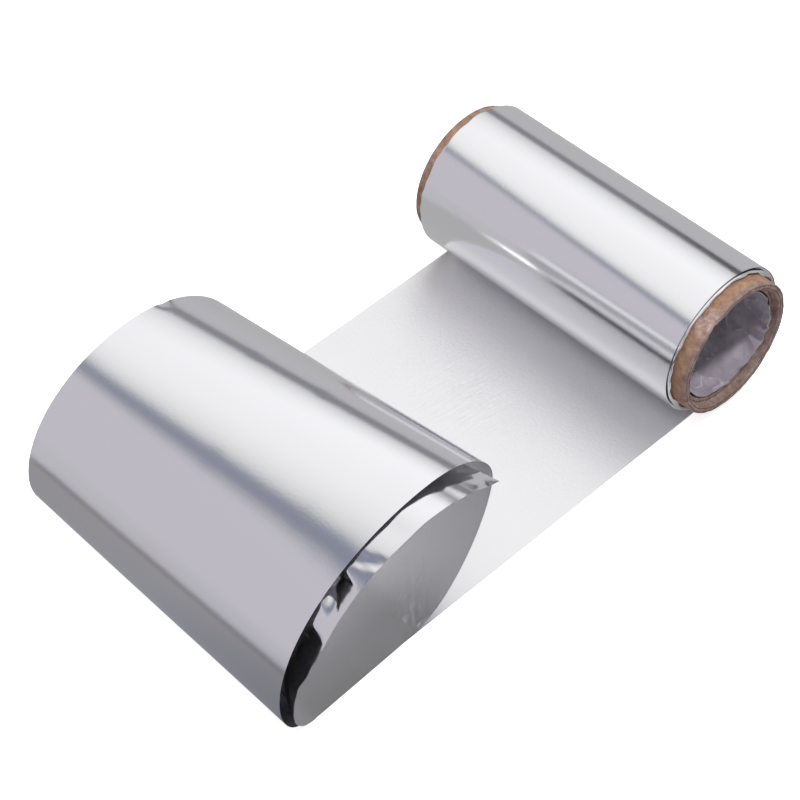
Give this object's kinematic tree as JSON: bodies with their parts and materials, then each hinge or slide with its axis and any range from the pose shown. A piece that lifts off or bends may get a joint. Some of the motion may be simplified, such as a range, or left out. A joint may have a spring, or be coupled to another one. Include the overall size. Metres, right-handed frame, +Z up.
{
  "type": "aluminium foil roll",
  "caption": "Narrow aluminium foil roll on a paper-lined cardboard core, its free end laid out flat and curled into a loose loop",
  "frame": {"origin": "on the surface it rests on, under the middle of its bounding box", "axes": "+X from the loop to the roll, +Y along the core, +Z up"},
  "size_m": [0.2038, 0.1124, 0.0606],
  "materials": {
    "foil": "bright rolled foil outside, matt foil inside",
    "core": "spiral-wound kraft board, cut ends",
    "liner": "thin wrinkled white paper"
  },
  "bodies": {
    "root": {"foil": "foil", "core_tube": "core", "core_liner": "liner"}
  },
  "joints": []
}
